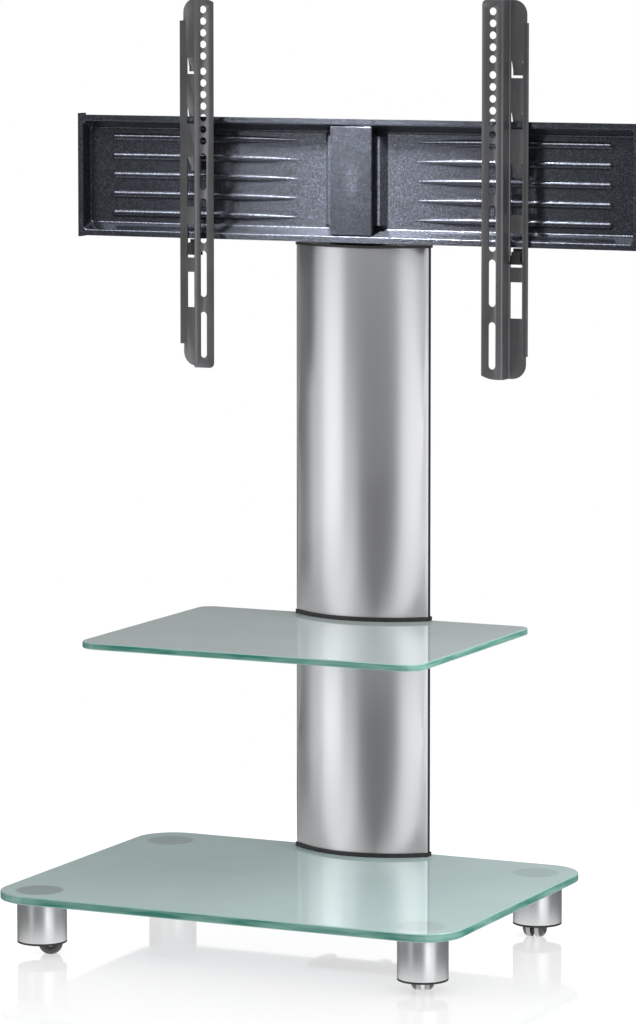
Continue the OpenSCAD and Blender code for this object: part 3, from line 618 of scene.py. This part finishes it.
# cuts lines across the pan's floor for the ribs, the raised middle and a flat margin
def markFloor(sheet, rows, fullHalf):
    m = mountSheet
    upright = [row[0] for row in rows]
    upright += [m["ribPoint"] - m["pointMargin"], rows[-1][0] + m["endMargin"], m["middleHalf"],
                m["middleFoot"], wallX * m["floorShare"] - m["bend"] - m["margin"]]
    level = [z + sign * share * fullHalf for z in ribZ for share in ribWidthShares for sign in (-1, 1)]
    level += [middleZ + sign * (floorHalf - m[key]) for key in ("middleBevel", "margin")
              for sign in (-1, 1)]
    for x in sorted(set(sign * x for x in upright for sign in (-1, 1))):
        pick(sheet, "FACE", isFloor)
        cutUpright(x)
    for z in sorted(set(round(value, 7) for value in level)):
        pick(sheet, "FACE", isFloor)
        cutLevel(z)


# row by row: each row of all the ribs moves as one
def raiseRibs(sheet, rows, fullHalf):
    for along, half, height in rows:
        bar = (half * half + height * height) / (2 * height)
        for share in ribWidthShares:
            lift = math.sqrt(max(bar * bar - (share * half) ** 2, 0.0)) - (bar - height)
            for sign in ((-1, 1) if share else (1,)):
                spots = [z + sign * share * fullHalf for z in ribZ]
                pick(sheet, "VERT", lambda v: atX(v, along)
                     and any(abs(v.co.z - spot) < 2 * near for spot in spots))
                shift = sign * share * (half - fullHalf)
                bpy.ops.transform.translate(value=(0, -max(lift, 0.0), shift))


# lifts the floor's middle, with sloping sides and ends
def raiseMiddle(sheet):
    m = mountSheet
    verts = bmesh.from_edit_mesh(sheet.data).verts
    for z in sorted(set(round(v.co.z, 6) for v in verts if atX(v, m["middleHalf"]))):
        lift = m["middleFront"] * min(1, (floorHalf - abs(z - middleZ)) / m["middleBevel"])
        if lift > near:
            pick(sheet, "VERT", lambda v: atX(v, m["middleHalf"]) and abs(v.co.z - z) < 0.3 * near)
            bpy.ops.transform.translate(value=(0, -lift, 0))


def makeMountPlate():
    rows, fullHalf = ribSections()
    sheet = pressPan()
    markFloor(sheet, rows, fullHalf)
    raiseRibs(sheet, rows, fullHalf)
    raiseMiddle(sheet)
    bpy.ops.mesh.select_all(action="SELECT")
    bpy.ops.mesh.remove_doubles(threshold=near)
    clearPick()
    wall = sheet.modifiers.new("sheet", "SOLIDIFY")
    wall.thickness = mountSheet["sheet"]
    wall.offset = -1.0
    wall.use_even_offset = False
    applyModifiers(sheet)
    finishPiece(sheet, "mountPressedPlate", "mount_plate", smooth=38.0,
                material=finishes["black_powder_coat"])
    even = sheet.modifiers.new("even", "WEIGHTED_NORMAL")    # keeps the floor flat next to the ribs
    even.weight = 80
    even.keep_sharp = True
    applyModifiers(sheet)


makeMountPlate()
print("mount plate pressed")


# weld in metres, the rest in degrees
breaking = {"weld": 0.000002, "flat": 0.6, "sharp": 28.0, "smooth": 30.0}


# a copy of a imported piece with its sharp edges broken, as a real piece has them
def rounded(node, name, width, segments, material=None):
    pickPiece(nodes[node])
    bpy.ops.object.duplicate()
    piece = bpy.context.object
    piece.parent = None
    for key in list(piece.keys()):
        del piece[key]
    startOn(piece)
    bpy.ops.mesh.select_all(action="SELECT")
    bpy.ops.mesh.remove_doubles(threshold=breaking["weld"])
    bpy.ops.mesh.dissolve_limited(angle_limit=math.radians(breaking["flat"]))
    clearPick()
    bevel = piece.modifiers.new("edge", "BEVEL")
    bevel.width = width
    bevel.segments = segments
    bevel.limit_method = "ANGLE"
    bevel.angle_limit = math.radians(breaking["sharp"])
    bevel.use_clamp_overlap = True
    applyModifiers(piece)
    finishPiece(piece, name, node, breaking["smooth"], material or finishes[slotOf[node]])
    return piece


# node: the piece's name, the width of its broken edges and their segments
brokenEdges = {
    "left_arm": ("leftArmSheet", 0.00035, 2), "right_arm": ("rightArmSheet", 0.00035, 2),
    "centre_channel": ("centreChannelCover", 0.0012, 3),
    "left_end_plate": ("leftEndPlate", 0.0004, 2), "right_end_plate": ("rightEndPlate", 0.0004, 2),
    "left_lock_slider": ("leftLockSlider", 0.0004, 2), "right_lock_slider": ("rightLockSlider", 0.0004, 2),
    "upright_post": ("uprightPost", 0.0010, 3), "post_foot": ("postFoot", 0.0008, 2),
    "post_collar": ("postCollar", 0.0004, 2), "mount_head": ("mountHeadBlock", 0.0008, 2),
    "lower_cable_cover": ("lowerCableCover", 0.0006, 2),
    "upper_cable_cover": ("upperCableCover", 0.0006, 2),
    "lower_column_shell": ("lowerColumnShell", 0.0003, 2),
    "upper_column_shell": ("upperColumnShell", 0.0003, 2),
    "column_top_cap": ("columnTopCap", 0.0006, 2), "clamp_plate": ("clampPlate", 0.0008, 2),
    "clamp_pad": ("clampPad", 0.0003, 1), "cap_screws": ("capScrews", 0.0003, 2),
    "clamp_bolts": ("clampBolts", 0.0005, 2), "mount_bolts": ("mountBolts", 0.0005, 2),
    "mount_nuts": ("mountNuts", 0.0005, 2),
    "base_gasket": ("baseGasket", 0.0011, 3), "shelf_lower_gasket": ("shelfLowerGasket", 0.0005, 2),
    "shelf_upper_gasket": ("shelfUpperGasket", 0.0011, 3),
}
for node, (name, width, segments) in brokenEdges.items():
    rounded(node, name, width, segments)

footEdges = {"tube": 0.0005, "ring": 0.0005, "castor": 0.0006, "wheel": 0.0005, "tread": 0.2}


def dressFoot(foot):
    stem = foot.split("_")[0] + foot.split("_")[1].capitalize()
    rounded(foot + "_foot_tube", stem + "FootTube", footEdges["tube"], 2, footAluminium)
    rounded(foot + "_foot_ring", stem + "FootRing", footEdges["ring"], 2)
    rounded(foot + "_castor_frame", stem + "CastorFrame", footEdges["castor"], 2)
    for side in ("a", "b"):
        wheel = rounded(foot + "_wheel_" + side, stem + "Wheel" + side.upper(), footEdges["wheel"], 2)
        axle = Vector(spinAxis[foot + "_wheel_" + side])
        wheel.data.materials.append(wheelTread)
        for face in wheel.data.polygons:
            if abs(face.normal.dot(axle)) < footEdges["tread"]:     # the tread faces away from the axle
                face.material_index = 1


for foot in ("front_left", "front_right", "rear_left", "rear_right"):
    dressFoot(foot)
print("pieces with broken edges made")


ambientLight = 0.80


# white to the camera and to mirrors, a little less as light
def setWorld():
    world = bpy.data.worlds.new("studioWorld")
    bpy.context.scene.world = world
    look = Finish(world)
    seen = sum(look.node("ShaderNodeLightPath", output=ray)
               for ray in ("Is Camera Ray", "Is Glossy Ray", "Is Transmission Ray"))
    strength = look.spread(seen, 0.0, 1.0, ambientLight, 1.0)
    back = look.node("ShaderNodeBackground", {}, {"Color": grey(1.0), "Strength": strength})
    look.node("ShaderNodeOutputWorld", {}, {"Surface": back})


floorLook = {"radius": 1.05, "fadeFrom": 0.72, "fadeTo": 1.03, "glow": 0.66, "colour": 0.36,
             "mirrorRefraction": 1.21, "mirrorRoughness": 0.05}


# white floor that fades into the white background and faintly mirrors the stand
def makeFloor():
    clearPick()
    bpy.ops.mesh.primitive_circle_add(vertices=96, radius=floorLook["radius"], fill_type="NGON",
                                      location=(0, 0, 0))
    floor = bpy.context.object
    floor.name = "studioFloor"
    look = newFinish("whiteFloor")
    far = (look.axis("X") ** 2.0 + look.axis("Y") ** 2.0) ** 0.5
    below = look.node("ShaderNodeNewGeometry", output="Backfacing")      # clear from below
    solid = look.spread(far, floorLook["fadeFrom"], floorLook["fadeTo"], 1.0, 0.0) * (1 - below)
    glow = look.node("ShaderNodeEmission", {}, {"Color": grey(1.0), "Strength": floorLook["glow"]})
    matt = look.node("ShaderNodeBsdfDiffuse", {}, {"Color": grey(floorLook["colour"])})
    both = look.node("ShaderNodeAddShader", {}, {0: glow, 1: matt})
    mirror = look.node("ShaderNodeBsdfGlossy", {},
                       {"Color": grey(1.0), "Roughness": floorLook["mirrorRoughness"]})
    share = look.node("ShaderNodeFresnel", {}, {"IOR": floorLook["mirrorRefraction"]})
    shown = look.node("ShaderNodeMixShader", {}, {0: share, 1: both, 2: mirror})
    clear = look.node("ShaderNodeBsdfTransparent")
    faded = look.node("ShaderNodeMixShader", {}, {0: solid, 1: clear, 2: shown})
    floor.data.materials.append(look.out(faded))
    floor.visible_glossy = False
    return floor


def onlyMirrored(piece):        # seen by mirror rays alone
    for kind in ("camera", "diffuse", "transmission", "volume_scatter", "shadow"):
        setattr(piece, "visible_" + kind, False)


flags = {"radius": 3.0, "height": 4.2, "middle": 1.0, "grey": 0.17}


# dark flags all round, which only the metal and the glass mirror
def makeFlags():
    clearPick()
    bpy.ops.mesh.primitive_cylinder_add(vertices=96, radius=flags["radius"], depth=flags["height"],
                                        end_fill_type="NOTHING", location=(0, 0, flags["middle"]))
    wall = bpy.context.object
    wall.name = "studioFlags"
    look = newFinish("darkFlag")
    glow = look.node("ShaderNodeEmission", {}, {"Color": grey(flags["grey"])})
    wall.data.materials.append(look.out(glow))
    onlyMirrored(wall)


cardSizes = {"baseCard": ((0.58, 0.43), (0, 0, 0.0795)), "shelfCard": ((0.44, 0.34), (0, 0.04, 0.3755))}
# a dark fan opens forwards from just behind the column's face, with lighter sides
cardLook = {"dark": 0.19, "light": 0.88, "apexX": 0.029, "apexY": 0.174, "lean": 0.185, "opening": 0.515,
            "softFrom": -0.02, "softTo": 0.045, "flankOpening": 3.0, "flankFrom": 0.01, "flankTo": 0.06,
            "flank": 0.5}


# cards just over the glass, which only the metal above them mirrors
def makeCards():
    for name, (size, middle) in cardSizes.items():
        clearPick()
        bpy.ops.mesh.primitive_plane_add(size=1.0, location=middle)
        card = bpy.context.object
        card.name = name
        card.scale = size + (1.0,)
        applyPlace()
        look = newFinish(name)
        ahead = cardLook["apexY"] - look.axis("Y")
        aside = ((look.axis("X") - cardLook["apexX"] - ahead * cardLook["lean"]) ** 2.0) ** 0.5
        shade = look.spread(aside - ahead * cardLook["opening"], cardLook["softFrom"], cardLook["softTo"],
                            cardLook["dark"], cardLook["light"])
        flank = look.spread(aside - ahead * cardLook["flankOpening"], cardLook["flankFrom"],
                            cardLook["flankTo"], 1.0, cardLook["flank"])
        tone = look.blend(shade * flank, grey(0.0), grey(1.0))
        glow = look.node("ShaderNodeEmission", {}, {"Color": tone})
        below = look.node("ShaderNodeNewGeometry", output="Backfacing")
        clear = look.node("ShaderNodeBsdfTransparent")
        faced = look.node("ShaderNodeMixShader", {}, {0: below, 1: glow, 2: clear})
        card.data.materials.append(look.out(faced))
        onlyMirrored(card)


# at: azimuth from the front, -Y, towards +X, distance and height; on: the group it shines on
lamps = {
    "rightSoftbox": {"at": (56.0, 2.6, 0.35), "size": (2.0, 2.9), "radiance": 0.76, "on": "allButMount"},
    "leftSoftbox": {"at": (-51.0, 2.6, 0.30), "size": (1.40, 2.8), "radiance": 0.85,
                    "on": "allButMountAndFeet"},
    "leftFillOuter": {"at": (-77.0, 2.6, 0.30), "size": (0.9, 2.8), "radiance": 0.38,
                      "on": "allButMountAndFeet"},
    "feetLeft": {"at": (-25.0, 2.6, -0.10), "size": (0.50, 1.2), "radiance": 0.88, "on": "feetOnly"},
    "feetRight": {"at": (46.0, 2.6, -0.10), "size": (0.45, 1.2), "radiance": 0.95, "on": "feetOnly"},
    "leftFillInner": {"at": (-25.0, 2.6, -0.20), "size": (0.75, 1.6), "radiance": 0.42, "on": "columnOnly"},
    "mountLight": {"at": (-25.5, 2.7, 0.80), "size": (0.25, 0.40), "radiance": 3.0, "on": "mountOnly"},
    "mountBar": {"at": (-29.0, 1.05, 2.2), "size": (1.5, 1.2), "radiance": 6.6, "on": "mountOnly",
                 "aim": (0.0, 0.18, 0.92)},
    "mountKey": {"at": (-27.0, 0.62, 2.25), "size": (0.14, 0.30), "radiance": 34.0, "on": "mountOnly",
                 "aim": (-0.01, 0.18, 0.92), "spread": 17},
    "glassSide": {"at": (80.0, 1.1, 0.85), "size": (1.0, 1.0), "radiance": 4.3, "on": "glassOnly",
                  "aim": (0.0, 0.0, 0.25)},
}
floorCards = {"azimuths": (0, 90, 180, 270), "turn": 25.0, "distance": 2.05, "height": 0.9,
              "size": (4.3, 1.9), "radiance": 1.0}
wattsPerRadiance = 4.0      # for each square metre of an area lamp


def softLight(name, values, group, matt=1.0):
    azimuth, distance, height = values["at"]
    turn = math.radians(azimuth)
    place = Vector((math.sin(turn) * distance, -math.cos(turn) * distance, height))
    aim = Vector(values.get("aim", (0, 0, height)))
    bpy.ops.object.light_add(type="AREA", location=place)
    lamp = bpy.context.object
    lamp.name = name
    lamp.rotation_euler = (aim - place).to_track_quat("-Z", "Y").to_euler()
    lamp.visible_camera = False
    lamp.light_linking.receiver_collection = group
    lamp.data.shape = "RECTANGLE"
    lamp.data.size, lamp.data.size_y = values["size"]
    lamp.data.energy = values["radiance"] * wattsPerRadiance * values["size"][0] * values["size"][1]
    lamp.data.spread = math.radians(values.get("spread", 180))
    lamp.data.diffuse_factor = matt


def makeGroup(name, pieces):        # the pieces that a lamp shines on, or leaves out
    group = bpy.data.collections.new(name)
    bpy.context.scene.collection.children.link(group)
    for piece in pieces:
        group.objects.link(piece)
    for entry in group.collection_objects:
        entry.light_linking.link_state = "EXCLUDE" if name.startswith("allBut") else "INCLUDE"
    return group


def makeLights(floor):
    mount = [bpy.data.objects[name] for name in (
        "mountPressedPlate", "centreChannelCover", "leftEndPlate", "rightEndPlate")]
    feet = [bpy.data.objects[stem + "FootTube"] for stem in (
        "frontLeft", "frontRight", "rearLeft", "rearRight")]
    column = [bpy.data.objects[name] for name in ("lowerColumnShell", "upperColumnShell")]
    glass = [bpy.data.objects[name] for name in ("baseGlassPlate", "shelfGlassPlate")]
    members = {"mountOnly": mount, "allButMount": mount, "allButMountAndFeet": feet + mount,
               "feetOnly": feet, "columnOnly": column, "glassOnly": glass, "floorOnly": [floor]}
    groups = {name: makeGroup(name, pieces) for name, pieces in members.items()}
    for name, values in lamps.items():
        softLight(name, values, groups[values["on"]])
    for azimuth in floorCards["azimuths"]:
        at = (azimuth + floorCards["turn"], floorCards["distance"], floorCards["height"])
        softLight("floorCard%d" % azimuth, dict(floorCards, at=at), groups["floorOnly"], 0.0)


# fitted to the straight edges in the photograph
photoCamera = {"place": (2.41006, -5.11267, 1.2082), "pitch": 4.9962, "turn": 24.9193, "lens": 165.917,
               "sensor": 36.0, "shift": -0.15, "reach": 100.0}


def makeCamera():
    bpy.ops.object.camera_add(location=photoCamera["place"],
                              rotation=(math.radians(90 - photoCamera["pitch"]), 0,
                                        math.radians(photoCamera["turn"])))
    camera = bpy.context.object
    camera.name = "photoCamera"
    camera.data.lens = photoCamera["lens"]
    camera.data.sensor_width = photoCamera["sensor"]
    camera.data.shift_y = photoCamera["shift"]
    camera.data.clip_end = photoCamera["reach"]
    bpy.context.scene.camera = camera


bpy.context.scene.view_settings.view_transform = "Standard"
setWorld()
makeCamera()
floor = makeFloor()
makeFlags()
makeCards()
makeLights(floor)
print("studio ready")
